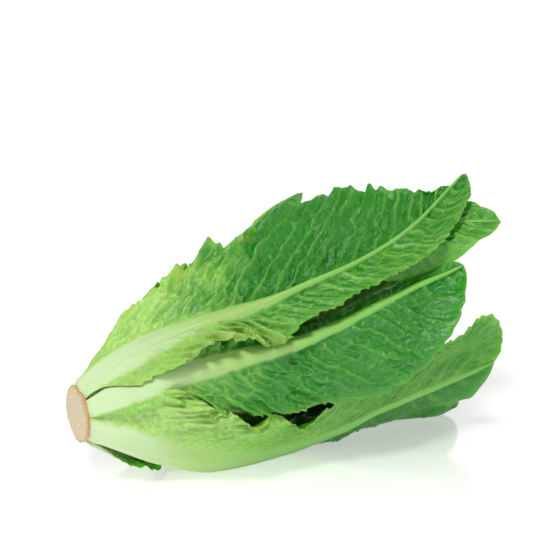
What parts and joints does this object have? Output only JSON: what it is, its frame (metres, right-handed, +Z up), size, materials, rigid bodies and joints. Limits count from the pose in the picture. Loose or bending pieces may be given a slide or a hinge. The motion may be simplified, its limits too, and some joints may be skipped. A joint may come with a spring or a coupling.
{
  "type": "romaine lettuce head",
  "caption": "Whole romaine lettuce head lying on its side: a cut stem core, a nest of heart leaves and long outer leaves with broad pale midribs and ruffled green blades.",
  "frame": {"origin": "centre of the head's box, at the height of the surface it lies on", "axes": "+X along the head from the cut stem to the leaf tips, +Z up, -Y the side that faces the viewer"},
  "size_m": [0.2596, 0.1556, 0.1533],
  "materials": {
    "cut_stem": "moist cut plant tissue, cream to tan with a browned rim",
    "heart_leaf": "waxy leaf, pale yellow-green",
    "outer_leaf": "waxy leaf, pale midrib turning to mid and deep green at the tip"
  },
  "bodies": {
    "root": {"stem_core": "cut_stem", "inner_leaf_01": "heart_leaf", "inner_leaf_02": "heart_leaf", "inner_leaf_03": "heart_leaf", "inner_leaf_04": "heart_leaf", "inner_leaf_05": "heart_leaf", "inner_leaf_06": "heart_leaf", "inner_leaf_07": "heart_leaf", "inner_leaf_08": "heart_leaf", "inner_leaf_09": "heart_leaf", "inner_leaf_10": "heart_leaf", "inner_leaf_11": "heart_leaf", "inner_leaf_12": "heart_leaf", "back_tip_leaf": "outer_leaf", "top_back_leaf": "outer_leaf", "lower_tip_leaf": "outer_leaf", "back_high_leaf": "outer_leaf", "back_low_leaf": "outer_leaf", "back_side_leaf": "outer_leaf", "lower_front_leaf": "outer_leaf", "underside_leaf": "outer_leaf", "front_leaf": "outer_leaf", "top_leaf": "outer_leaf"}
  },
  "joints": []
}
